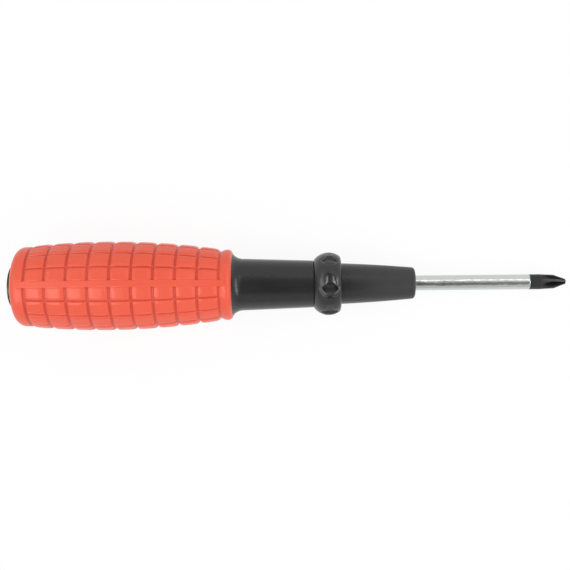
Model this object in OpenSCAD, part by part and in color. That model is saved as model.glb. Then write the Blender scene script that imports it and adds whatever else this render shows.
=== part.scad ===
// Pocket screwdriver with a reversible pull-out blade.
// The tool lies along X, tip toward +X. The origin is on the axis, at the nose's front face.
// Turn angles start at +Z and run toward +Y.

/* [Blade] */
// Diameter of the round shank
blade_d = 4; // [3.5:0.1:4.2]
// Length of the blade that stands out of the nose
blade_out = 40.1; // [36:0.1:43]
// Length of the cone at the cross tip
cross_cone_len = 3.1; // [2.6:0.1:3.6]
// Diameter of the flat at the end of the cross tip
cross_point_d = 1.3; // [1.1:0.05:1.6]
// Diameter where the cone starts
cross_neck_d = 3.6; // [3.2:0.05:3.7]
// Length of the slight taper behind the cone
cross_taper_len = 3.8; // [3:0.1:5]
// Length of the flutes, measured from the tip
flute_len = 8; // [6:0.1:9]
// Length over which the flutes run out to the shank
flute_run_len = 4; // [2:0.1:5]
// Thickness of the cross wings at the very tip
cross_wing_t = 0.55; // [0.5:0.05:0.7]
// Thickness of the cross wings where the flutes begin to run out
wing_back_t = 0.7; // [0.7:0.05:1.1]
// Turn of the cross wings
cross_turn = 13; // [0:1:44]
// Thickness of the flat tip at the hidden end
flat_tip_t = 0.8; // [0.6:0.05:1]
// Length over which the flat tip is ground
flat_tip_len = 9; // [7:0.5:11]
// Length of the pressed flat at mid blade, flush with the nose
ear_len = 10; // [7:0.5:12]
// Width of the pressed flat, whose edges stand out as two ears
ear_span = 6.2; // [5.6:0.1:6.4]
// Thickness of the pressed flat
ear_t = 2; // [1.6:0.1:2.4]

/* [Nose and barrel] */
// Length of the nose ahead of the collar
nose_len = 19.6; // [18:0.1:22]
// Diameter of the nose behind its front edge
nose_front_d = 8.4; // [8.2:0.1:9.4]
// Diameter of the nose at the collar
nose_back_d = 10.9; // [10.6:0.1:11.4]
// Height of the slight bulge along the nose
nose_bulge = 0.11; // [0:0.01:0.3]
// Radius of the nose's front edge
nose_edge_r = 0.8; // [0.4:0.1:1]
// Length of the barrel between the collar and the grip
barrel_len = 21.4; // [18:0.1:26]
// Diameter of the barrel at the collar
barrel_front_d = 12.5; // [12:0.1:13.2]
// Diameter of the barrel at the flare
barrel_back_d = 13.8; // [13.3:0.1:14.4]
// Length of the hollow flare that meets the grip
flare_len = 2.7; // [2.6:0.1:3.2]
// Radius of the hollow flare in side view
flare_r = 3.3; // [3.3:0.1:4.4]

/* [Core] */
// Diameter of the core under the grip
core_d = 15; // [14:0.1:15.6]
// Diameter of the hollow that opens at the rear
core_hollow_d = 9; // [8:0.1:9.8]
// Length of the solid stretch that guides the blade
guide_len = 57; // [56:0.5:64]
// Number of ribs that key the grip to the core
rib_count = 4; // [2:1:6]
// Width of a rib
rib_w = 2.4; // [1.6:0.1:3]
// Height of a rib
rib_h = 1; // [0.6:0.1:1.2]
// Length of a rib
rib_len = 40; // [30:1:46]
// Distance from the core's rear end to the ribs
rib_inset = 2; // [1:0.5:4]

/* [Grip] */
// Length of the grip from its front rim to the crown of its rear dome
grip_len = 58.6; // [55:0.1:63]
// Distance from the front rim to the widest place
belly_from_rim = 33.4; // [30:0.1:36]
// Width across flats at the widest place
grip_across = 23.5; // [23:0.1:26]
// Radius of the long arc that the sides follow
belly_arc_r = 200; // [170:5:300]
// Number of sides around the grip
grip_sides = 16; // [12:4:20]
// Number of grooves around the grip
ring_grooves = 10; // [7:1:12]
// Width of a groove around the grip
ring_groove_w = 0.95; // [0.6:0.05:1.2]
// Depth of a groove around the grip
ring_groove_h = 0.75; // [0.4:0.05:0.8]
// Width of a groove along the grip
row_groove_w = 0.55; // [0.4:0.05:0.9]
// Depth of a groove along the grip
row_groove_h = 0.5; // [0.3:0.05:0.7]
// Width of the two plain strips along the grip
strip_w = 1.9; // [1.2:0.1:2.2]
// Turn of the front strip
strip_turn = 2.8; // [-6:0.1:6]
// Distance from the rear crown to the first groove
rear_band_len = 5.2; // [4.8:0.1:6.4]
// Distance from the last groove to the front rim's face
front_band_len = 3.2; // [2.4:0.1:3.6]
// Step from the end of a plain strip down to the smooth rear lip
rear_lip_drop = 0.22; // [0.1:0.01:0.6]
// Radius of the rear end's dome
rear_dome_r = 30; // [24:0.5:40]
// Radius between the rear dome and the lip
rear_corner_r = 2.5; // [1.8:0.1:3]
// Step from the end of a plain strip down to the front rim
front_rim_drop = 0.1; // [0.1:0.01:0.4]
// Radius of the front rim's edge
front_rim_r = 0.8; // [0.3:0.1:1]

/* [End cap] */
// Diameter of the cap's head
cap_d = 11.4; // [10.6:0.1:12]
// Height of the cap's crown over the crown of the grip's rear dome
cap_proud = 1.2; // [1:0.1:1.5]
// Radius of the cap's dome
cap_dome_r = 17; // [15:0.5:24]
// Depth of the cap's head below the crown of the grip's rear dome
cap_head_t = 3; // [2.6:0.1:3.4]
// Length of the cap's plug inside the core
cap_plug_len = 9; // [6:0.5:14]
// Chamfer at the end of the plug
cap_plug_chamfer = 0.8; // [0.4:0.1:1.2]

/* [Collar] */
// Length of the finger collar
collar_len = 7.3; // [6.6:0.1:8.2]
// Thickness of the collar over its seat, at the largest diameter
collar_wall = 3.12; // [2.6:0.01:3.6]
// Distance from the collar's front face to its largest diameter
collar_crown_from_front = 3.2; // [2.8:0.1:3.5]
// Radius of the collar's crown in side view
collar_crown_r = 4.9; // [4.8:0.1:6]
// Diameter of the seat under the collar
collar_seat_d = 10.4; // [10.2:0.1:10.5]
// Number of finger pits
pit_count = 6; // [4:1:7]
// Length of a pit along the tool
pit_len = 4.5; // [3.8:0.1:4.8]
// Width of a pit around the collar
pit_w = 4; // [3:0.1:4.4]
// Depth of a pit
pit_h = 1.6; // [1:0.1:2]
// Turn of the first pit
pit_turn = -10; // [-30:1:30]
// Width of the channel that runs out of each pit
channel_w = 1.3; // [0.8:0.1:1.8]
// Depth of that channel at the pit
channel_h = 0.7; // [0.4:0.05:0.9]

/* [Blade catch] */
// Diameter of the friction ball
ball_d = 2.6; // [2.3:0.05:2.7]
// Width of the lip that keeps the ball from falling through
ball_lip = 0.2; // [0.1:0.05:0.3]
// Thickness of the spring ring
spring_t = 0.5; // [0.35:0.05:0.55]
// Width of the spring ring along the tool
spring_w = 1.6; // [1.2:0.1:2]
// Gap in the spring ring, in degrees
spring_gap = 40; // [25:1:70]

/* [Clearances] */
// Radial clearance of the blade in its guide
slide_gap = 0.05; // [0.02:0.01:0.08]
// Clearance between fixed pieces
seat_gap = 0.03; // [0.01:0.01:0.06]
// Clearance of the ball against the shank, its hole and its spring
ball_gap = 0.02; // [0.01:0.005:0.04]

/* [Hidden] */
$fn = 96;
overrun = 1;
nose_steps = 8;

blade_r = blade_d / 2;
bore_r = blade_r + slide_gap;
ear_back_x = -ear_len;
blade_back_x = ear_back_x - blade_out;

collar_front_x = -nose_len;
collar_back_x = collar_front_x - collar_len;
collar_crown_x = collar_front_x - collar_crown_from_front;
rim_x = collar_back_x - barrel_len;
flare_front_x = rim_x + flare_len;
seat_r = collar_seat_d / 2;
collar_d = collar_seat_d + 2 * (seat_gap + collar_wall);
catch_x = (collar_front_x + collar_back_x) / 2;

crown_x = rim_x - grip_len;
cap_crown_x = crown_x - cap_proud;
core_back_x = crown_x + cap_head_t;
belly_x = rim_x - belly_from_rim;
first_groove_x = crown_x + rear_band_len;
last_groove_x = rim_x - front_band_len;
groove_pitch = (last_groove_x - first_groove_x) / (ring_grooves - 1);
groove_places = [for (i = [0 : ring_grooves - 1]) first_groove_x + i * groove_pitch];
half_side = 180 / grip_sides;
seam_lap = ring_groove_w / 2;
strip_drop = (strip_w - row_groove_w) / 2 * tan(half_side);
lip_r = strip_r(first_groove_x) - rear_lip_drop;
rim_r = strip_r(last_groove_x) - front_rim_drop;
clear_r = grip_across;

ball_r = ball_d / 2;
ball_place = blade_r + ball_gap + ball_r;
spring_in_r = ball_place + ball_r + ball_gap;
spring_out_r = spring_in_r + spring_t;
spring_groove_r = spring_in_r - seat_gap;

// Half width of the grip at place x, across flats
function belly_r(x) = grip_across / 2 - belly_arc_r + sqrt(pow(belly_arc_r, 2) - pow(x - belly_x, 2));

// Height of the plain strips at place x
function strip_r(x) = belly_r(x) / cos(half_side) - strip_drop;

// Turns a half outline, drawn as [radius, x], about the tool's axis
module turned() {
    rotate([0, 90, 0])
        rotate_extrude()
            children();
}

// Turns a piece from +Z toward +Y
module facing(turn) {
    rotate([-turn, 0, 0])
        children();
}

// Round bar along X between two places
module bar(from, to, r_from, r_to) {
    translate([from, 0, 0])
        rotate([0, 90, 0])
            cylinder(h = to - from, r1 = r_from, r2 = r_to);
}

// Slab along X that is cut by an outline drawn as [x, height]
module slab(width) {
    rotate([90, 0, 0])
        linear_extrude(height = width, center = true)
            children();
}

// Square corner along X whose edge passes two heights above the axis, given at distances from the tip
module corner(from, from_h, to, to_h) {
    slope = atan((to_h - from_h) / (to - from));
    reach = 2 * (flute_len + blade_d);
    translate([blade_out - from, 0, from_h])
        rotate([0, slope, 0])
            translate([-reach, 0, 0])
                rotate([45, 0, 0])
                    cube([2 * reach, reach, reach]);
}

// Cutter for one flute: it leaves the wings nearly even and then runs out to the shank
module flute() {
    root = cross_wing_t / sqrt(2);
    back_root = wing_back_t / sqrt(2);
    run_start = flute_len - flute_run_len;
    intersection() {
        corner(0, root, run_start, back_root);
        corner(run_start, back_root, flute_len, blade_r);
    }
}

// Cutter that grinds one face of the flat tip
module flat_grind() {
    slope = atan((blade_r - flat_tip_t / 2) / flat_tip_len);
    translate([blade_back_x, 0, flat_tip_t / 2])
        rotate([0, -slope, 0])
            translate([-blade_d, -blade_d, 0])
                cube([flat_tip_len + 2 * blade_d, 2 * blade_d, blade_d]);
}

// Double-ended steel blade: a cross tip, a pressed flat that keys it to the nose, and a flat tip
module blade() {
    cone_x = blade_out - cross_cone_len;
    taper_x = cone_x - cross_taper_len;
    neck_r = cross_neck_d / 2;
    color("silver")
        difference() {
            union() {
                bar(blade_back_x, ear_back_x, blade_r, blade_r);
                bar(0, taper_x, blade_r, blade_r);
                bar(taper_x, cone_x, blade_r, neck_r);
                bar(cone_x, blade_out, neck_r, cross_point_d / 2);
                translate([ear_back_x, -ear_span / 2, -ear_t / 2])
                    cube([ear_len, ear_span, ear_t]);
            }
            for (quarter = [0 : 3])
                facing(cross_turn + 45 + 90 * quarter)
                    flute();
            flat_grind();
            mirror([0, 0, 1])
                flat_grind();
        }
}

// Half outline of the nose: a slight bulge, then a rounded front edge
module nose_outline() {
    front_x = -nose_edge_r;
    front_r = nose_front_d / 2;
    back_r = nose_back_d / 2;
    side = [for (i = [0 : nose_steps])
        let (share = i / nose_steps)
        [
            back_r + (front_r - back_r) * share + 4 * nose_bulge * share * (1 - share),
            collar_front_x + (front_x - collar_front_x) * share
        ]];
    polygon(concat([[0, collar_front_x]], side, [[0, front_x]]));
    translate([0, front_x])
        square([front_r - nose_edge_r, nose_edge_r]);
    intersection() {
        translate([front_r - nose_edge_r, front_x])
            circle(r = nose_edge_r);
        translate([0, front_x])
            square([nose_front_d, nose_edge_r]);
    }
}

// Half outline of the hollow flare between the grip and the barrel
module flare_outline() {
    barrel_r = barrel_back_d / 2;
    flange_r = barrel_r + flare_r - sqrt(pow(flare_r, 2) - pow(flare_len, 2));
    difference() {
        translate([0, rim_x])
            square([flange_r, flare_len]);
        translate([barrel_r + flare_r, flare_front_x])
            circle(r = flare_r);
    }
}

// Radial hole for the ball, with a lip at the blade's bore
module ball_hole() {
    lip_r = ball_r - ball_lip;
    lip_top = ball_place - sqrt(pow(ball_r, 2) - pow(lip_r, 2)) - ball_gap;
    translate([catch_x, 0, 0])
        cylinder(h = seat_r, r = lip_r);
    translate([catch_x, 0, lip_top])
        cylinder(h = seat_r, r = ball_r + ball_gap);
}

// Black core: stem under the grip, barrel, collar seat and nose in one moulding
module handle_core() {
    keyway_w = ear_t + 2 * slide_gap;
    keyway_span = ear_span + 2 * slide_gap;
    guide_back_x = -guide_len;
    spring_room = spring_w + 2 * seat_gap;
    color("#3c3e3c")
        difference() {
            union() {
                bar(core_back_x, rim_x, core_d / 2, core_d / 2);
                for (i = [0 : rib_count - 1])
                    facing(360 / rib_count * (i + 1 / 2))
                        translate([core_back_x + rib_inset, -rib_w / 2, core_d / 2 - rib_h])
                            cube([rib_len, rib_w, 2 * rib_h]);
                turned()
                    flare_outline();
                bar(flare_front_x, collar_back_x, barrel_back_d / 2, barrel_front_d / 2);
                bar(collar_back_x, collar_front_x, seat_r, seat_r);
                turned()
                    nose_outline();
            }
            bar(guide_back_x - overrun, overrun, bore_r, bore_r);
            translate([ear_back_x, -keyway_span / 2, -keyway_w / 2])
                cube([overrun - ear_back_x, keyway_span, keyway_w]);
            bar(core_back_x - overrun, guide_back_x, core_hollow_d / 2, core_hollow_d / 2);
            ball_hole();
            difference() {
                bar(catch_x - spring_room / 2, catch_x + spring_room / 2, nose_back_d, nose_back_d);
                bar(catch_x - spring_room, catch_x + spring_room, spring_groove_r, spring_groove_r);
            }
        }
}

// Half outline of the rear end: a shallow dome rounded into the lip
module rear_outline() {
    dome_x = crown_x + rear_dome_r;
    corner_place = lip_r - rear_corner_r;
    corner_turn = asin(corner_place / (rear_dome_r - rear_corner_r));
    corner_x = dome_x - (rear_dome_r - rear_corner_r) * cos(corner_turn);
    // The waste outside the rounded corner, as a kite between both tangent points
    reach = rear_corner_r / cos((90 - corner_turn) / 2);
    middle_turn = (90 + corner_turn) / 2;
    difference() {
        intersection() {
            translate([0, dome_x])
                circle(r = rear_dome_r, $fn = 360);
            translate([0, crown_x])
                square([lip_r, rear_band_len + seam_lap]);
        }
        difference() {
            translate([corner_place, corner_x])
                polygon([
                    [0, 0],
                    rear_corner_r * [sin(corner_turn), -cos(corner_turn)],
                    reach * [sin(middle_turn), -cos(middle_turn)],
                    [rear_corner_r, 0]
                ]);
            translate([corner_place, corner_x])
                circle(r = rear_corner_r);
        }
    }
}

// Half outline of the smooth front rim with its rounded edge
module front_outline() {
    translate([0, last_groove_x - seam_lap])
        square([rim_r, front_band_len + seam_lap - front_rim_r]);
    translate([0, last_groove_x - seam_lap])
        square([rim_r - front_rim_r, front_band_len + seam_lap]);
    intersection() {
        translate([rim_r - front_rim_r, rim_x - front_rim_r])
            circle(r = front_rim_r);
        translate([0, last_groove_x])
            square([rim_r, front_band_len]);
    }
}

// Side outline of the blocks, straight from groove to groove
module block_outline(heights) {
    upper = [for (i = [0 : ring_grooves - 1]) [groove_places[i], heights[i]]];
    lower = [for (i = [ring_grooves - 1 : -1 : 0]) [groove_places[i], -heights[i]]];
    polygon(concat(upper, lower));
}

// Many-sided body of the blocks, with a narrow flat along each plain strip
module block_body() {
    intersection() {
        intersection_for(i = [0 : grip_sides / 2 - 1])
            facing(strip_turn + half_side * (2 * i + 1))
                slab(2 * clear_r)
                    block_outline([for (x = groove_places) belly_r(x)]);
        facing(strip_turn)
            slab(2 * clear_r)
                block_outline([for (x = groove_places) strip_r(x)]);
    }
}

// Grooves around the grip, stopped at the two plain strips
module ring_cuts() {
    difference() {
        for (x = groove_places)
            difference() {
                bar(x - ring_groove_w / 2, x + ring_groove_w / 2, clear_r, clear_r);
                bar(x - ring_groove_w, x + ring_groove_w,
                    belly_r(x) - ring_groove_h, belly_r(x) - ring_groove_h);
            }
        facing(strip_turn)
            translate([crown_x, -strip_w / 2, -2 * clear_r])
                cube([grip_len, strip_w, 4 * clear_r]);
    }
}

// Outline of what one groove along the grip takes away
module row_cut_outline() {
    floor_line = [for (x = groove_places) [x, belly_r(x) / cos(half_side) - row_groove_h]];
    polygon(concat(floor_line, [[last_groove_x, clear_r], [first_groove_x, clear_r]]));
}

// Grooves along the grip, one at each corner but the two strips
module row_cuts() {
    for (i = [1 : grip_sides - 1])
        if (i != grip_sides / 2)
            facing(strip_turn + 2 * half_side * i)
                slab(row_groove_w)
                    row_cut_outline();
}

// Coral rubber sleeve with its grid of blocks
module grip_sleeve() {
    hole_r = core_d / 2 + seat_gap;
    color("#f0644e")
        difference() {
            union() {
                block_body();
                turned()
                    rear_outline();
                turned()
                    front_outline();
            }
            ring_cuts();
            row_cuts();
            bar(core_back_x, rim_x + overrun, hole_r, hole_r);
            for (i = [0 : rib_count - 1])
                facing(360 / rib_count * (i + 1 / 2))
                    translate([core_back_x + rib_inset - seat_gap, -rib_w / 2 - seat_gap, hole_r - rib_h])
                        cube([rib_len + 2 * seat_gap, rib_w + 2 * seat_gap, 2 * rib_h]);
            bar(crown_x - overrun, core_back_x + overrun, cap_d / 2 + seat_gap, cap_d / 2 + seat_gap);
        }
}

// Half outline of the collar: one round crown between two flat faces
module collar_outline() {
    intersection() {
        translate([collar_d / 2 - collar_crown_r, collar_crown_x])
            circle(r = collar_crown_r);
        translate([seat_r + seat_gap, collar_back_x])
            square([collar_d, collar_len]);
    }
}

// Cutter for one pit: a diamond that reaches in from the crown, and a flat channel that fades out around it
module pit() {
    half_l = pit_len / 2;
    half_w = pit_w / 2;
    translate([collar_crown_x, 0, collar_d / 2 - pit_h])
        linear_extrude(height = pit_h + overrun)
            polygon([[half_l, 0], [0, half_w], [-half_l, 0], [0, -half_w]]);
    translate([collar_crown_x - channel_w / 2, -collar_d / 2, collar_d / 2 - channel_h])
        cube([channel_w, collar_d, channel_h + overrun]);
}

// Black rubber finger collar with its pits
module collar_ring() {
    color("#353735")
        difference() {
            turned()
                collar_outline();
            for (i = [0 : pit_count - 1])
                facing(pit_turn + 360 / pit_count * i)
                    pit();
        }
}

// Half outline of the end cap: domed head, then the plug
module cap_outline() {
    plug_r = core_hollow_d / 2 - seat_gap;
    plug_x = core_back_x + cap_plug_len;
    intersection() {
        translate([0, cap_crown_x + cap_dome_r])
            circle(r = cap_dome_r, $fn = 360);
        translate([0, cap_crown_x])
            square([cap_d / 2, cap_proud + cap_head_t]);
    }
    polygon([
        [0, core_back_x],
        [plug_r, core_back_x],
        [plug_r, plug_x - cap_plug_chamfer],
        [plug_r - cap_plug_chamfer, plug_x],
        [0, plug_x]
    ]);
}

// Black end cap pressed into the hollow core
module end_cap() {
    color("#2f312f")
        turned()
            cap_outline();
}

// Split spring ring in the groove under the collar, open away from the ball
module spring_ring() {
    color("gray")
        difference() {
            bar(catch_x - spring_w / 2, catch_x + spring_w / 2, spring_out_r, spring_out_r);
            bar(catch_x - spring_w, catch_x + spring_w, spring_in_r, spring_in_r);
            translate([catch_x - spring_w, 0, 0])
                rotate([90, 0, 90])
                    linear_extrude(height = 2 * spring_w)
                        polygon([
                            [0, 0],
                            2 * spring_out_r * [-sin(spring_gap / 2), -cos(spring_gap / 2)],
                            2 * spring_out_r * [sin(spring_gap / 2), -cos(spring_gap / 2)]
                        ]);
        }
}

// Steel ball that the spring ring presses on the shank
module friction_ball() {
    color("lightgray")
        translate([catch_x, 0, ball_place])
            sphere(r = ball_r);
}

blade();
handle_core();
grip_sleeve();
collar_ring();
end_cap();
spring_ring();
friction_ball();
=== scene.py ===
import bmesh
import bpy
import math
from mathutils import Matrix, Vector


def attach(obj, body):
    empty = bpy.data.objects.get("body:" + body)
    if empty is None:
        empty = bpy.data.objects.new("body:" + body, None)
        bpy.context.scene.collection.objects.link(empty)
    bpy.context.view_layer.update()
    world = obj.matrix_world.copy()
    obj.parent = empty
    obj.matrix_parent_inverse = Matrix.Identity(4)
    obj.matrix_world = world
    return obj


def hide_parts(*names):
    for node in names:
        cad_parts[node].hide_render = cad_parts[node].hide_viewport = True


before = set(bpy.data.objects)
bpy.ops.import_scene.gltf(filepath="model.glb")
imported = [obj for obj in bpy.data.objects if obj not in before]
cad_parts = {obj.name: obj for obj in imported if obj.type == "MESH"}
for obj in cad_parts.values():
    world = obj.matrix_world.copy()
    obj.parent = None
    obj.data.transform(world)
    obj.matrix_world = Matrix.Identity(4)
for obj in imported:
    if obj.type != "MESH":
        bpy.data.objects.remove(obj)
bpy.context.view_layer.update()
scene = bpy.context.scene
scene.view_settings.view_transform = "Standard"
mm = 0.001
print("frame loaded")


# shader maths: a wire is one socket, and sums on wires add Math nodes
class Wire:
    def __init__(self, board, socket):
        self.board, self.socket = board, socket

    def calc(self, operation, *others, flip=False):
        terms = [self, *others]
        if flip:
            terms.reverse()
        return self.board.add("ShaderNodeMath", {"operation": operation}, dict(enumerate(terms)))

    def __add__(self, other): return self.calc("ADD", other)
    def __radd__(self, other): return self.calc("ADD", other, flip=True)
    def __sub__(self, other): return self.calc("SUBTRACT", other)
    def __rsub__(self, other): return self.calc("SUBTRACT", other, flip=True)
    def __mul__(self, other): return self.calc("MULTIPLY", other)
    def __rmul__(self, other): return self.calc("MULTIPLY", other, flip=True)
    def __truediv__(self, other): return self.calc("DIVIDE", other)
    def __abs__(self): return self.calc("ABSOLUTE")
    def most(self, other): return self.calc("MAXIMUM", other)
    def least(self, other): return self.calc("MINIMUM", other)

    def step(self, low, high):  # soft step from 0 at low to 1 at high
        return self.board.add("ShaderNodeMapRange", {"interpolation_type": "SMOOTHSTEP"},
                              {"Value": self, "From Min": low, "From Max": high})


class Board:  # one node tree
    def __init__(self, tree):
        self.tree = tree
        tree.nodes.clear()

    def add(self, kind, settings=None, inputs=None, output=0):
        node = self.tree.nodes.new(kind)
        for key, value in (settings or {}).items():
            setattr(node, key, value)
        for key, value in (inputs or {}).items():
            socket = node.inputs[key]
            if isinstance(value, Wire):
                self.tree.links.new(value.socket, socket)
            else:
                socket.default_value = value
        return Wire(self, node.outputs[output]) if len(node.outputs) else None

    def mix(self, share, first, second):  # colours
        return self.add("ShaderNodeMix", {"data_type": "RGBA"}, {0: share, 6: first, 7: second}, 2)

    def place(self, part):  # place on the piece along X, Y or Z, in metres
        return self.add("ShaderNodeSeparateXYZ", None, {0: self.add("ShaderNodeTexCoord", output="Object")}, part)

    def noise(self, scale, detail=2.0, stretch=(1, 1, 1), roughness=0.5):
        place = self.add("ShaderNodeTexCoord", output="Object")
        spread = self.add("ShaderNodeVectorMath", {"operation": "MULTIPLY"}, {0: place, 1: stretch})
        sockets = {"Vector": spread, "Scale": scale, "Detail": detail, "Roughness": roughness}
        return self.add("ShaderNodeTexNoise", None, sockets)

    def painted(self, name):  # a value stored on the mesh's points
        return self.add("ShaderNodeAttribute", {"attribute_name": name}, output="Fac")

    def bump(self, height, distance, strength=1.0, under=None):
        sockets = {"Height": height, "Distance": distance, "Strength": strength}
        if under:
            sockets["Normal"] = under
        return self.add("ShaderNodeBump", None, sockets)

    def path(self, ray):
        return self.add("ShaderNodeLightPath", output=ray)

    def whiteShare(self):  # what the camera, and metal or glass, see of the surroundings
        return self.path("Is Camera Ray").most(self.path("Is Glossy Ray")).most(self.path("Is Transmission Ray"))


def grey(level):
    return (level, level, level, 1)


def finish(name):
    look = bpy.data.materials.new(name)
    look.use_nodes = True
    return look, Board(look.node_tree)


def close(board, sockets):
    surface = board.add("ShaderNodeBsdfPrincipled", None, sockets)
    board.add("ShaderNodeOutputMaterial", None, {"Surface": surface})


# mesh making
def smooth(value, low, high):  # soft step, in numbers
    share = min(max((value - low) / (high - low), 0.0), 1.0)
    return share * share * (3 - 2 * share)


def blend(share, first, second):
    return first + (second - first) * share


def skin(name, rings, painted=None, closed=False):  # rings of points, joined in order
    mesh = bpy.data.meshes.new(name)
    count = len(rings[0])
    points = [point for ring in rings for point in ring]
    faces = []
    for first in range(len(rings) if closed else len(rings) - 1):
        second = (first + 1) % len(rings)
        for i in range(count):
            j = (i + 1) % count
            faces.append((first * count + i, first * count + j, second * count + j, second * count + i))
    if not closed:
        faces.append(tuple(range(count)))
        faces.append(tuple(range((len(rings) - 1) * count, len(rings) * count)))
    mesh.from_pydata(points, [], faces)
    for key, values in (painted or {}).items():
        mesh.attributes.new(key, "FLOAT", "POINT").data.foreach_set("value", values)
    work = bmesh.new()
    work.from_mesh(mesh)
    bmesh.ops.recalc_face_normals(work, faces=work.faces)
    work.to_mesh(mesh)
    work.free()
    for polygon in mesh.polygons:
        polygon.use_smooth = len(polygon.vertices) == 4
    piece = bpy.data.objects.new(name, mesh)
    scene.collection.objects.link(piece)
    return piece


def turned(x, radius, turn):  # turn starts at +Z and runs toward +Y, in degrees
    angle = math.radians(turn)
    return (x * mm, radius * math.sin(angle) * mm, radius * math.cos(angle) * mm)


def arc(centreX, centreR, radius, start, stop, steps):  # points on a side outline, angles from -X toward +R
    points = []
    for i in range(steps + 1):
        angle = math.radians(blend(i / steps, start, stop))
        points.append((centreX - radius * math.cos(angle), centreR + radius * math.sin(angle)))
    return points


# coral grip sleeve: blocks, grooves, two plain strips, rear dome and front rim; lengths in mm, turns in degrees
grip = {
    "rimX": -48.3, "crownX": -106.9, "bellyX": -81.7, "bellyR": 11.75, "bellyArc": 200.0, "sides": 16,
    "firstX": -101.7, "lastX": -51.5, "grooves": 10, "firstShift": 0.2,
    "floorDrop": 0.55, "floorHalf": 0.17, "wallEnd": 0.5,
    "blockRound": 0.2, "roundFrom": 0.3, "roundTo": 1.35,
    "rowDrop": 0.3, "rowFloor": 0.08, "rowWall": 0.34, "rowBevel": 0.95, "rowRound": 0.3,
    "stripTurn": 2.8, "stripHalf": 0.93, "stripDrop": 0.159, "stripProud": 0.09,
    "stripEase": (0.9, 0.3), "stripRear": (-0.9, 0.3), "stripFront": (0.55, 1.3), "coverEdge": (-0.08, 0.06),
    "lineIn": (-0.2, 0.0), "lineOut": (0.02, 0.18), "lineDrop": 0.09, "lineShade": 0.55,
    "domeR": 30.0, "domeFrom": 11.2, "cornerR": 2.5, "lipR": 10.6, "lipSteps": 4,
    "rimR": 9.4, "rimEdge": 1.3, "beadDrop": 0.4, "beadEase": (0.2, 1.6),
    "holeR": 5.73, "holeEdge": ((0.12, 0.0), (0.03, 0.04)), "boreR": 7.53, "ribR": 8.55,
    "ribFrontX": -61.8, "ribBackX": -102.2, "bottomX": -103.9,
    "turnsByStrip": (0, 1.6, 3.0, 3.6, 4.0, 4.3, 4.6, 4.9, 5.2, 5.6, 6.8, 8.8),
    "turnsByRow": (0, 0.3, 0.6, 0.9, 1.2, 1.5, 1.9, 2.7, 3.8, 4.7, 5.2, 8.0),
    "stepsByGroove": (0, 0.14, 0.26, 0.34, 0.42, 0.5, 0.6, 0.72, 0.9, 1.2), "sharesOnBlock": (0.34, 0.5, 0.66),
    # the groove colour is painted shade in the grooves and along the strip lines, and the edge colour is a painted
    # highlight on the blocks' top edges
    "colour": (0.815, 0.102, 0.051, 1), "groove": (0.6, 0.063, 0.033, 1), "edge": (0.86, 0.16, 0.1, 1),
    "faded": (0.88, 0.18, 0.12, 1), "dull": (0.71, 0.084, 0.048, 1),
    "grooveFrom": (0.25, 0.95), "highlightRise": (0.02, 0.12), "highlightFall": (0.12, 0.4),
    "edgeHighlightShare": 0.5, "fadedFrom": 0.35, "fadedShare": 0.35, "dullBelow": 0.62, "dullShare": 0.35,
    "cloudScale": 90, "fineScale": 2600, "grainScale": 7000, "relief": 0.00003,
    "roughness": {"plain": 0.27, "byCloud": 0.1, "byGrain": 0.05},
}
halfSide = 180 / grip["sides"]
groovePitch = (grip["lastX"] - grip["firstX"]) / (grip["grooves"] - 1)
groovePlaces = [grip["firstX"] + i * groovePitch for i in range(grip["grooves"])]
groovePlaces[0] += grip["firstShift"]
cornerTurn = math.degrees(math.asin((grip["lipR"] - grip["cornerR"]) / (grip["domeR"] - grip["cornerR"])))
cornerX = grip["crownX"] + grip["domeR"] - (grip["domeR"] - grip["cornerR"]) * math.cos(math.radians(cornerTurn))


def bellyRadius(x):
    drop = grip["bellyArc"] - math.sqrt(grip["bellyArc"] ** 2 - (x - grip["bellyX"]) ** 2)
    return grip["bellyR"] - drop


def easeFrom(value, start, reach):  # soft step over a reach that is given from a start
    return smooth(value, start + reach[0], start + reach[1])


def stripOver(x, outlineR, stripOff, radius, depth):  # the plain strip bridges the grooves; the dark lines along its edges are painted shade
    toStrip = bellyRadius(x) / math.cos(math.radians(halfSide)) - grip["stripDrop"]
    ends = (grip["rimR"] if x > grip["lastX"] else outlineR) + grip["stripProud"]
    outer, inner = grip["stripEase"]
    inside = easeFrom(x, grip["firstX"], (-outer, inner)) * (1 - easeFrom(x, grip["lastX"], (-inner, outer)))
    lay = blend(inside, ends, toStrip) / math.cos(math.radians(stripOff))
    side = abs(lay * math.sin(math.radians(stripOff)))
    fade = easeFrom(x, cornerX, grip["stripRear"]) * (1 - easeFrom(x, grip["lastX"], grip["stripFront"]))
    half = grip["stripHalf"]
    line = easeFrom(side, half, grip["lineIn"]) * (1 - easeFrom(side, half, grip["lineOut"])) * fade
    cover = (1 - easeFrom(side, half, grip["coverEdge"])) * fade
    radius = blend(cover, radius, lay) - grip["lineDrop"] * line
    return radius, max(depth * (1 - cover), grip["lineShade"] * line)


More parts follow.
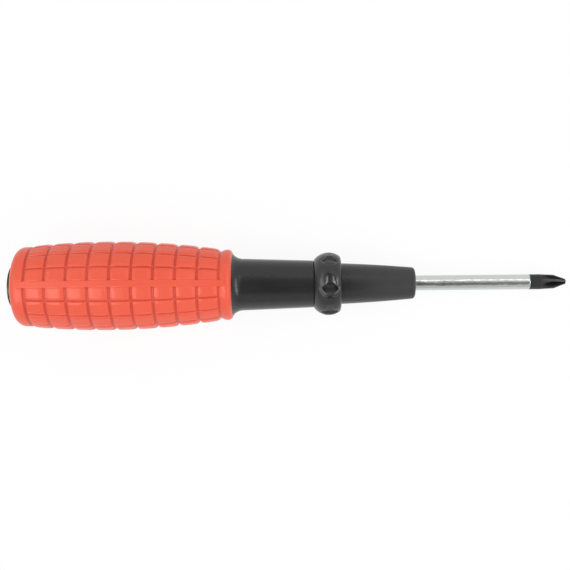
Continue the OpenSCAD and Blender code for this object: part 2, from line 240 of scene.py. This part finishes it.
def gripPoint(x, outlineR, turn):  # radius, and depth into the grooves on the sleeve's outside, which also sets the painted shade in the grooves and along the strip lines
    offset = (turn - grip["stripTurn"]) % (2 * halfSide) - halfSide
    flat = bellyRadius(x)
    aside = flat * (math.tan(math.radians(halfSide)) - math.tan(math.radians(abs(offset))))
    stripOff = (turn - grip["stripTurn"] + 90) % 180 - 90
    ringX = min(groovePlaces, key=lambda place: abs(x - place))
    gap = abs(x - ringX)
    depth = 0.0
    if groovePlaces[0] < x < groovePlaces[-1]:
        radius = flat / math.cos(math.radians(offset))
        if abs(stripOff) >= halfSide:
            depth = 1 - smooth(aside, grip["rowFloor"], grip["rowWall"])
            radius -= grip["rowDrop"] * depth + grip["rowRound"] * max(0.0, 1 - aside / grip["rowBevel"])
        radius -= grip["blockRound"] * (1 - smooth(gap, grip["roundFrom"], grip["roundTo"]))
    else:
        radius = outlineR
    cut = 1 - smooth(gap, grip["floorHalf"], grip["wallEnd"])
    radius = blend(cut, radius, bellyRadius(ringX) - grip["floorDrop"])
    depth = max(depth, cut)
    if abs(stripOff) < 2 * halfSide:
        return stripOver(x, outlineR, stripOff, radius, depth)
    return radius, depth


def gripTurns():  # columns, closer together beside the grooves and strips
    turns = []
    for corner in range(grip["sides"]):
        centre = grip["stripTurn"] + 2 * halfSide * corner
        steps = grip["turnsByRow"] if corner % (grip["sides"] // 2) else grip["turnsByStrip"]
        turns += [centre - step for step in steps[:0:-1]] + [centre + step for step in steps]
        turns.append(centre + halfSide)
    return turns


def gripOutline():  # stations along the outside, rear to front: place and plain radius
    stations = arc(grip["crownX"] + grip["domeR"], 0, grip["domeR"], grip["domeFrom"], cornerTurn, 10)
    stations += arc(cornerX, grip["lipR"] - grip["cornerR"], grip["cornerR"], cornerTurn, 90, 16)[1:]
    beside = grip["stepsByGroove"]
    last, first = stations[-1][0], grip["firstX"] - beside[-1]
    stations += [(blend(i / grip["lipSteps"], last, first), grip["lipR"]) for i in range(1, grip["lipSteps"])]
    places = []
    for i, centre in enumerate(groovePlaces):
        places += [centre - step for step in beside[:0:-1]] + [centre + step for step in beside]
        if i < grip["grooves"] - 1:
            places += [blend(share, centre, groovePlaces[i + 1]) for share in grip["sharesOnBlock"]]
    for x in places:
        radius = grip["lipR"] if x <= groovePlaces[0] else grip["rimR"]
        if x > grip["lastX"]:  # bead behind the rim
            radius -= grip["beadDrop"] * (1 - easeFrom(x, grip["lastX"], grip["beadEase"]))
        stations.append((x, radius))
    stations += arc(grip["rimX"] - grip["rimEdge"], grip["rimR"] - grip["rimEdge"], grip["rimEdge"], 90, 180, 8)
    return stations


def makeGrip():
    turns = gripTurns()
    rings, groove = [], []
    holeX = grip["crownX"] + grip["domeR"] - math.sqrt(grip["domeR"] ** 2 - grip["holeR"] ** 2)
    inner = [(grip["rimX"], grip["boreR"]), (grip["ribFrontX"], grip["boreR"]), (grip["ribFrontX"], grip["ribR"]),
             (grip["ribBackX"], grip["ribR"]), (grip["ribBackX"], grip["boreR"]), (grip["bottomX"], grip["boreR"]),
             (grip["bottomX"], grip["holeR"])]
    inner += [(holeX + inset, grip["holeR"] + out) for inset, out in grip["holeEdge"]]
    for x, radius in inner:
        rings.append([turned(x, radius, turn) for turn in turns])
        groove += [0.0] * len(turns)
    for x, outlineR in gripOutline():
        ring = []
        for turn in turns:
            radius, depth = gripPoint(x, outlineR, turn)
            ring.append(turned(x, radius, turn))
            groove.append(depth)
        rings.append(ring)
    return skin("grip", rings, {"grooveDepth": groove}, closed=True)


def coralRubber():
    look, board = finish("coralRubber")
    depth = board.painted("grooveDepth")
    cloud = board.noise(grip["cloudScale"], 3)
    fine = board.noise(grip["fineScale"])
    grain = board.noise(grip["grainScale"], 1)
    edge = depth.step(*grip["highlightRise"]) * (1 - depth.step(*grip["highlightFall"]))  # painted highlight on the top edges of the blocks
    # painted shade in the grooves and along the strip lines
    colour = board.mix(depth.step(*grip["grooveFrom"]), grip["colour"], grip["groove"])
    colour = board.mix(edge * grip["edgeHighlightShare"], colour, grip["edge"])
    colour = board.mix((cloud - grip["fadedFrom"]) * grip["fadedShare"], colour, grip["faded"])
    colour = board.mix((grip["dullBelow"] - fine).most(0) * grip["dullShare"], colour, grip["dull"])
    relief = board.bump(fine * 0.6 + grain * 0.4, grip["relief"], 0.5)
    rough = grip["roughness"]
    roughness = rough["plain"] + rough["byCloud"] * cloud + rough["byGrain"] * fine
    close(board, {"Base Color": colour, "Roughness": roughness, "Normal": relief,
                  "Sheen Weight": 0.04, "Sheen Roughness": 0.4, "Specular IOR Level": 0.36})
    return look


gripPiece = makeGrip()
gripPiece.data.materials.append(coralRubber())
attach(gripPiece, "handle")
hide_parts("grip_sleeve")
print("grip sleeve:", len(gripPiece.data.vertices), "points")


# finger collar with star pits and fading channels; the three per-pit tuples hold one share for each pit, of its
# depth, its painted shade and its painted highlight
collar = {
    "backX": -26.9, "frontX": -19.6, "crownX": -22.8, "crownR": 8.35, "arcR": 4.9, "boreR": 5.23,
    "backEdge": 0.35, "frontEdge": 0.55, "columns": 432, "stations": 58, "pits": 6, "pitTurn": -9.0, "pitX": -22.65,
    "outline": ((-2.0, 0.5), (-1.75, 1.05), (-1.3, 1.45), (-0.8, 1.8), (-0.3, 2.1), (0.0, 2.2), (0.3, 2.1),
                (0.52, 1.9), (0.92, 1.45), (1.3, 1.05), (1.9, 0.78), (2.6, 0.73), (4.3, 0.7)),
    "pitDrop": 1.45, "ramp": 0.88, "rampFrom": -0.3, "rampTo": 1.7, "lipDrop": 0.33, "lipWide": 0.6,
    "wall": (-0.3, 0.05), "shade": (-0.14, 0.04), "rampShade": 0.75, "lipHighlightEnd": (1.3, 1.9),
    "channelFrom": 1.1, "channelTo": 1.7, "channelDrop": 0.05, "channelFade": 2.7, "channelEnd": 4.3,
    "pitDepths": (1, 0.34, 0.34, 1, 0.34, 0.34), "pitDarks": (1, 0.34, 0.34, 1, 0.9, 0.9),
    "pitEdges": (1, 0.34, 0.34, 1, 0.1, 0.1),
    # the pit colour is painted shade and the edge colour a painted highlight on the pits' lips
    "colour": (0.0155, 0.016, 0.0151, 1), "pit": (0.006, 0.006, 0.006, 1), "edge": (0.26, 0.266, 0.257, 1),
    "worn": (0.026, 0.027, 0.0256, 1), "edgeHighlightShare": 0.8, "pitFrom": (0.0, 0.6), "wornShare": 0.2,
    "cloudScale": 160, "fineScale": 3600, "relief": 0.00003,
    "roughness": {"plain": 0.15, "byCloud": 0.14, "byGrain": 0.05, "inPit": 0.5},
}


def pitHalf(high):  # half width of the pit and its channel at a height round the collar
    outline = collar["outline"]
    for (low, first), (top, second) in zip(outline, outline[1:]):
        if low <= high <= top:
            return blend((high - low) / (top - low), first, second)
    return -1.0


def collarPoint(x, radius, turn):  # radius, share of painted pit shade and share of painted lip highlight
    pitch = 360 / collar["pits"]
    away = (turn - collar["pitTurn"] + pitch / 2) % pitch - pitch / 2
    high = radius * math.radians(away)
    which = round((turn - away - collar["pitTurn"]) / pitch) % collar["pits"]
    outline = collar["outline"]
    beyond = max(outline[0][0] - high, 0.0)  # past the lower end
    outside = abs(x - collar["pitX"]) - pitHalf(min(max(high, outline[0][0]), outline[-1][0]))
    if beyond > 0:
        outside = math.hypot(beyond, max(outside, 0.0))
    inChannel = smooth(high, collar["channelFrom"], collar["channelTo"])
    fade = 1 - smooth(high, collar["channelFade"], collar["channelEnd"])
    lip = min(max(1 - outside / collar["lipWide"], 0.0), 1.0) * fade
    wall = 1 - smooth(outside, *collar["wall"])
    rise = smooth(-high, collar["rampFrom"], collar["rampTo"])  # bottom rises toward the lower edge
    bottom = max(collar["pitDrop"] * (1 - collar["ramp"] * rise), collar["lipDrop"])
    deep = blend(inChannel, bottom - collar["lipDrop"], collar["channelDrop"] * fade)
    # painted shade in the pit, lighter up the ramp and none in the channel
    dark = (1 - smooth(outside, *collar["shade"])) * (1 - inChannel) * (1 - collar["rampShade"] * rise)
    # painted highlight on the lips around the pit and its channel
    paintedLight = lip * lip * (1 - wall) * (1 - smooth(-high, *collar["lipHighlightEnd"]))
    sunk = (collar["lipDrop"] * lip + deep * wall) * collar["pitDepths"][which]  # shallower off the mould's pull
    # painted shade and painted highlight are scaled for each pit
    return radius - sunk, dark * collar["pitDarks"][which], paintedLight * collar["pitEdges"][which]


def collarOutline():  # stations from back to front, with rounded corners
    stations = []
    centreR = collar["crownR"] - collar["arcR"]
    for i in range(collar["stations"] + 1):
        x = blend(i / collar["stations"], collar["backX"], collar["frontX"])
        radius = centreR + math.sqrt(collar["arcR"] ** 2 - (x - collar["crownX"]) ** 2)
        ends = ((x - collar["backX"], collar["backEdge"]), (collar["frontX"] - x, collar["frontEdge"]))
        for gap, edge in ends:
            if gap < edge:
                radius -= edge - math.sqrt(edge ** 2 - (edge - gap) ** 2)
        stations.append((x, radius))
    return stations


def makeCollar():
    columns = collar["columns"]
    turns = [360 * i / columns for i in range(columns)]
    rings, pit, edge = [], [], []
    for x in (collar["frontX"], collar["backX"]):
        rings.append([turned(x, collar["boreR"], turn) for turn in turns])
        pit += [0.0] * columns
        edge += [0.0] * columns
    for x, outlineR in collarOutline():
        ring = []
        for turn in turns:
            radius, inPit, lipLight = collarPoint(x, outlineR, turn)
            ring.append(turned(x, radius, turn))
            pit.append(inPit)
            edge.append(lipLight)
        rings.append(ring)
    # the points carry the painted pit shade and the painted lip highlight
    return skin("collar", rings, {"pitDepth": pit, "pitEdge": edge}, closed=True)


def collarRubber():
    look, board = finish("collarRubber")
    cloud = board.noise(collar["cloudScale"], 3)
    fine = board.noise(collar["fineScale"])
    pit = board.painted("pitDepth").step(*collar["pitFrom"])
    # painted highlight on the lips, then painted shade in the pits
    colour = board.mix(board.painted("pitEdge") * collar["edgeHighlightShare"], collar["colour"], collar["edge"])
    colour = board.mix(pit, colour, collar["pit"])
    colour = board.mix(cloud * collar["wornShare"], colour, collar["worn"])
    relief = board.bump(fine, collar["relief"], 0.4)
    rough = collar["roughness"]
    roughness = rough["plain"] + rough["byCloud"] * cloud + rough["byGrain"] * fine + rough["inPit"] * pit
    close(board, {"Base Color": colour, "Roughness": roughness, "Normal": relief, "Specular IOR Level": 0.5})
    return look


collarPiece = makeCollar()
collarPiece.data.materials.append(collarRubber())
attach(collarPiece, "handle")
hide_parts("collar_ring")
print("collar:", len(collarPiece.data.vertices), "points")


# rear cap: proud black button with a rounded edge and its plug
cap = {
    "crownX": -108.1, "domeR": 17.0, "domeFrom": 0.6, "radius": 5.7, "edge": 0.28, "columns": 128,
    "seatX": -103.9, "plugR": 4.47, "plugX": -94.9, "plugChamfer": 0.8,
}


def makeCap():
    turns = [360 * i / cap["columns"] for i in range(cap["columns"])]
    reachTurn = math.degrees(math.asin((cap["radius"] - cap["edge"]) / (cap["domeR"] - cap["edge"])))
    edgeX = cap["crownX"] + cap["domeR"] - (cap["domeR"] - cap["edge"]) * math.cos(math.radians(reachTurn))
    outline = arc(cap["crownX"] + cap["domeR"], 0, cap["domeR"], cap["domeFrom"], reachTurn, 14)
    outline += arc(edgeX, cap["radius"] - cap["edge"], cap["edge"], reachTurn, 90, 6)[1:]
    outline += [(cap["seatX"], cap["radius"]), (cap["seatX"], cap["plugR"]),
                (cap["plugX"] - cap["plugChamfer"], cap["plugR"]), (cap["plugX"], cap["plugR"] - cap["plugChamfer"])]
    return skin("endCap", [[turned(x, radius, turn) for turn in turns] for x, radius in outline])


# satin black plastic for the core and the cap
plastic = {
    # the last colour is painted light that makes the nose lighter toward the front
    "colour": (0.012, 0.0125, 0.0118, 1), "pale": (0.02, 0.0207, 0.0196, 1), "paintedLight": (0.036, 0.037, 0.0355, 1),
    "noseBack": -0.02, "noseFront": -0.006,
    "paleByCloud": 0.5, "paleByGrain": 0.2, "noseLightShare": 0.5,
    "cloudScale": 120, "scuffScale": 700, "scuffStretch": (0.08, 1, 1), "fineScale": 5200, "relief": 0.00002,
    "roughness": {"plain": 0.17, "byScuff": 0.1, "byCloud": 0.08, "onNose": 0.2},
}


def blackPlastic():
    look, board = finish("blackPlastic")
    cloud = board.noise(plastic["cloudScale"], 3)
    scuff = board.noise(plastic["scuffScale"], 2, plastic["scuffStretch"])
    fine = board.noise(plastic["fineScale"])
    nose = board.place(0).step(plastic["noseBack"], plastic["noseFront"])  # toward the front: a lighter colour as painted light, and more roughness
    paleShare = cloud * plastic["paleByCloud"] + fine * plastic["paleByGrain"]
    colour = board.mix(paleShare, plastic["colour"], plastic["pale"])
    colour = board.mix(nose * plastic["noseLightShare"], colour, plastic["paintedLight"])
    relief = board.bump(fine, plastic["relief"], 0.35)
    rough = plastic["roughness"]
    roughness = rough["plain"] + rough["byScuff"] * scuff + rough["byCloud"] * cloud + rough["onNose"] * nose
    close(board, {"Base Color": colour, "Roughness": roughness, "Normal": relief, "Specular IOR Level": 0.44})
    return look


def dress(node, look):  # a CAD piece keeps its shape and gets the real finish
    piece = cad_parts[node]
    piece.data.materials.clear()
    piece.data.materials.append(look)


plasticLook = blackPlastic()
capPiece = makeCap()
capPiece.data.materials.append(plasticLook)
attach(capPiece, "handle")
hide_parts("end_cap")
dress("handle_core", plasticLook)
print("core and cap dressed")


# blade: bright shank, blackened ends, painted shade in the flutes and painted light on the tip's cross wings;
# lengths in mm
blade = {
    "frontBlack": 30.4, "backBlack": -41.0, "blur": 0.12, "waver": 0.3,
    "coneX": 37.0, "pointX": 40.1, "neckR": 1.8, "pointR": 0.65, "tip": (32.6, 35.2),
    "crossTurn": 13.0, "wingSide": (0.26, 0.44), "wingOut": (0.6, 1.0),
    "bright": (0.6, 0.625, 0.605, 1), "brushed": (0.52, 0.545, 0.525, 1),
    "black": (0.011, 0.0115, 0.0108, 1), "blackWorn": (0.026, 0.0265, 0.0255, 1),
    # the flute colour is painted shade in the flutes and the wing colour is painted light on the tip
    "flute": (0.004, 0.0042, 0.004, 1), "tipLight": (0.062, 0.063, 0.061, 1),
    "streakScale": 900, "streakStretch": (0.05, 1, 1), "fineScale": 4200, "edgeScale": 1500,
    "waveScale": 620, "waveStretch": (0.35, 1, 1), "relief": 0.00001, "waveRelief": 0.00012,
    "brushedShare": 0.2, "wornShare": 0.4, "fluteShare": 0.9,
    "brightRoughness": {"plain": 0.09, "byStreak": 0.1}, "blackRoughness": {"plain": 0.34, "byGrain": 0.16},
}


def wingShare(board, x):  # 1 on the cross wings' outer faces, less toward the bottom of the flutes; the rest of the tip gets painted shade
    side, height = board.place(1) / mm, board.place(2) / mm
    cone = (x - blade["coneX"]).most(0) / (blade["pointX"] - blade["coneX"])
    outside = blade["neckR"] - cone * (blade["neckR"] - blade["pointR"])
    turn = math.radians(blade["crossTurn"])
    first = abs(side * math.cos(turn) - height * math.sin(turn))
    second = abs(side * math.sin(turn) + height * math.cos(turn))
    thin = 1 - first.least(second).step(*blade["wingSide"])  # near the middle of a wing
    out = (side * side + height * height).calc("SQRT") / outside
    return out.step(*blade["wingOut"]) * (0.4 + 0.6 * thin)


def bladeSteel():
    look, board = finish("bladeSteel")
    x = board.place(0) / mm
    streak = board.noise(blade["streakScale"], 2, blade["streakStretch"])
    fine = board.noise(blade["fineScale"])
    wave = board.noise(blade["waveScale"], 3, blade["waveStretch"], 0.6)
    edge = x + (board.noise(blade["edgeScale"]) - 0.5) * blade["waver"]
    front = edge.step(blade["frontBlack"] - blade["blur"], blade["frontBlack"] + blade["blur"])
    back = 1 - edge.step(blade["backBlack"] - blade["blur"], blade["backBlack"] + blade["blur"])
    black = front.most(back)
    onTip = x.step(*blade["tip"])
    dark = board.mix(fine * blade["wornShare"], blade["black"], blade["blackWorn"])
    # painted light over the tip, standing in for its lit cross wings
    dark = board.mix(onTip * (0.6 + 0.4 * fine), dark, blade["tipLight"])
    bright = board.mix(streak * blade["brushedShare"], blade["bright"], blade["brushed"])
    colour = board.mix(black, bright, dark)
    onBright, onBlack = blade["brightRoughness"], blade["blackRoughness"]
    roughness = (onBright["plain"] + onBright["byStreak"] * streak) * (1 - black) + (
        onBlack["plain"] + onBlack["byGrain"] * fine) * black
    relief = board.bump(streak * (1 - black) * 0.4 + fine * black, blade["relief"], 0.3)
    relief = board.bump(wave * (1 - black), blade["waveRelief"], 0.8, relief)
    steel = board.add("ShaderNodeBsdfPrincipled", None, {
        "Base Color": colour, "Metallic": 1 - black, "Roughness": roughness, "Normal": relief,
        "Specular IOR Level": 0.34})
    # painted shade: a plain dark surface mixed into the flutes
    shade = board.add("ShaderNodeBsdfDiffuse", None, {"Color": blade["flute"]})
    inFlute = (1 - wingShare(board, x)) * onTip * blade["fluteShare"]
    both = board.add("ShaderNodeMixShader", None, {0: inFlute, 1: steel, 2: shade})
    board.add("ShaderNodeOutputMaterial", None, {"Surface": both})
    return look


dress("blade", bladeSteel())
print("blade dressed")


# spring ring and ball, under the collar
spring = {
    "colour": (0.55, 0.55, 0.54, 1), "blued": (0.42, 0.43, 0.46, 1),
    "bluedShare": 0.6, "roughness": {"plain": 0.22, "byBrush": 0.14},
    "brushScale": 2400, "brushStretch": (1, 0.1, 0.1), "cloudScale": 300, "relief": 0.00001,
}


def springSteel():
    look, board = finish("springSteel")
    brushed = board.noise(spring["brushScale"], 2, spring["brushStretch"])
    cloud = board.noise(spring["cloudScale"])
    colour = board.mix(cloud * spring["bluedShare"], spring["colour"], spring["blued"])
    rough = spring["roughness"]
    close(board, {"Base Color": colour, "Metallic": 1.0, "Roughness": rough["plain"] + rough["byBrush"] * brushed,
                  "Normal": board.bump(brushed, spring["relief"], 0.3)})
    return look


springLook = springSteel()
for node in ("spring_ring", "friction_ball"):
    dress(node, springLook)
print("spring parts dressed")


# floor: touches the grip's belly and the collar; seen white, keeps a faint shadow
floor = {
    "half": 1.6, "bellyX": -81.7, "drop": 12.27, "collarX": -22.8, "collarR": 8.36, "gap": 0.02,
    "white": 0.9, "colour": 0.95,
}


def makeFloor():
    lean = math.atan((floor["drop"] - floor["collarR"]) / (floor["collarX"] - floor["bellyX"]))
    bpy.ops.mesh.primitive_plane_add(size=2 * floor["half"])
    plane = bpy.context.object
    plane.name = "floor"
    low = Vector((floor["bellyX"] * mm, 0, -(floor["drop"] + floor["gap"]) * mm))
    plane.matrix_world = Matrix.Translation(low) @ Matrix.Rotation(-lean, 4, "Y")
    look, board = finish("paleFloor")
    matt = board.add("ShaderNodeBsdfDiffuse", None, {"Color": grey(floor["colour"])})
    glow = board.add("ShaderNodeEmission", None, {"Color": grey(1.0), "Strength": 1.0})
    both = board.add("ShaderNodeMixShader", None, {0: board.whiteShare() * floor["white"], 1: matt, 2: glow})
    board.add("ShaderNodeOutputMaterial", None, {"Surface": both})
    plane.data.materials.append(look)


makeFloor()


# light: a pale tent with two dark openings and two bright panels, and four soft lamps
# a tent patch leans by degrees to +X and +Y from straight up; places and sizes of lamps in metres
light = {
    "aim": (-0.035, 0, 0), "low": 0.5, "high": 0.85, "horizon": 0.1,
    "openings": ({"lean": (-5, -9), "reach": (14, 53), "inner": (0.72, 0.25), "level": 0.04},
                 {"lean": (10, -25), "reach": (16, 42), "inner": (0.3, 0.25), "level": 0.25}),
    "panels": ({"lean": (-48, -6), "reach": (5, 57), "inner": (0.4, 0.6), "level": 7.0},
               {"lean": (-26, -27), "reach": (12, 34), "inner": (0.3, 0.5), "level": 7.0}),
    "lowSide": {"from": 0.7, "to": 1.5, "level": 0.72},
    "lamps": {
        "keyLamp": {"place": (-0.31, -0.18, 0.56), "size": (0.3, 0.14), "watts": 0.48},
        "topLamp": {"place": (0.15, 0.36, 0.52), "size": (0.24, 0.10), "watts": 0.085},
        "rightStrip": {"place": (0.38, -0.08, 0.36), "size": (0.55, 0.05), "watts": 1.0},
        "leftStrip": {"place": (-0.46, -0.08, 0.37), "size": (0.55, 0.05), "watts": 0.45},
    },
}


def makeLamp(name, values):
    lamp = bpy.data.lights.new(name, "AREA")
    lamp.shape = "RECTANGLE"
    lamp.size, lamp.size_y = values["size"]
    lamp.energy = values["watts"]
    stand = bpy.data.objects.new(name, lamp)
    scene.collection.objects.link(stand)
    stand.location = values["place"]
    stand.rotation_euler = (Vector(light["aim"]) - Vector(values["place"])).to_track_quat("-Z", "Y").to_euler()


def makeWorld():
    world = bpy.data.worlds.new("paleRoom")
    scene.world = world
    world.use_nodes = True
    board = Board(world.node_tree)
    toward = board.add("ShaderNodeTexCoord", output="Generated")
    across, up, over = (board.add("ShaderNodeSeparateXYZ", None, {0: toward}, part) for part in range(3))

    def patch(values):  # soft-edged rectangle of the tent
        share = over.step(0.0, light["horizon"])
        for way, lean, reach, inner in zip((across, up), values["lean"], values["reach"], values["inner"]):
            off = abs(way / over - math.tan(math.radians(lean))) / math.tan(math.radians(reach))
            share = share * (1 - off.step(inner, 1.0))
        return share

    lowSide = light["lowSide"]
    seen = board.mix((up / over * -1.0).step(lowSide["from"], lowSide["to"]), grey(1.0), grey(lowSide["level"]))
    for opening in light["openings"]:
        seen = board.mix(patch(opening) * (1 - opening["level"]), seen, grey(0.0))
    for panel in light["panels"]:
        seen = board.mix(patch(panel), seen, grey(panel["level"]))
    seen = board.mix(board.path("Is Camera Ray"), seen, grey(1.0))
    around = board.mix(over.most(0), grey(light["low"]), grey(light["high"]))
    plain = board.add("ShaderNodeBackground", None, {"Color": around, "Strength": 1.0})
    shown = board.add("ShaderNodeBackground", None, {"Color": seen, "Strength": 1.0})
    both = board.add("ShaderNodeMixShader", None, {0: board.whiteShare(), 1: plain, 2: shown})
    board.add("ShaderNodeOutputWorld", None, {"Surface": both})


for lampName, lampValues in light["lamps"].items():
    makeLamp(lampName, lampValues)
makeWorld()
print("floor and light set")


# camera: straight down on the tool, tip slightly higher than the rear; lengths in mm, roll in degrees
view = {
    "place": (-32.4, 0.0, 241.8), "aim": (-34.44, -0.22, 0.0), "roll": 0.56, "lens": 57.23, "sensor": 36.0,
    "clipStart": 10.0,
}


def makeCamera():
    eye = bpy.data.cameras.new("camera")
    eye.lens, eye.sensor_fit = view["lens"], "AUTO"
    eye.sensor_width = eye.sensor_height = view["sensor"]
    eye.clip_start = view["clipStart"] * mm
    stand = bpy.data.objects.new("camera", eye)
    scene.collection.objects.link(stand)
    place, aim = Vector(view["place"]) * mm, Vector(view["aim"]) * mm
    forward = (aim - place).normalized()
    roll = math.radians(view["roll"])
    right = forward.cross(Vector((math.sin(roll), math.cos(roll), 0))).normalized()
    up = right.cross(forward)
    turn = Matrix((right, up, -forward)).transposed().to_4x4()
    stand.matrix_world = Matrix.Translation(place) @ turn
    scene.camera = stand


makeCamera()
print("camera set")
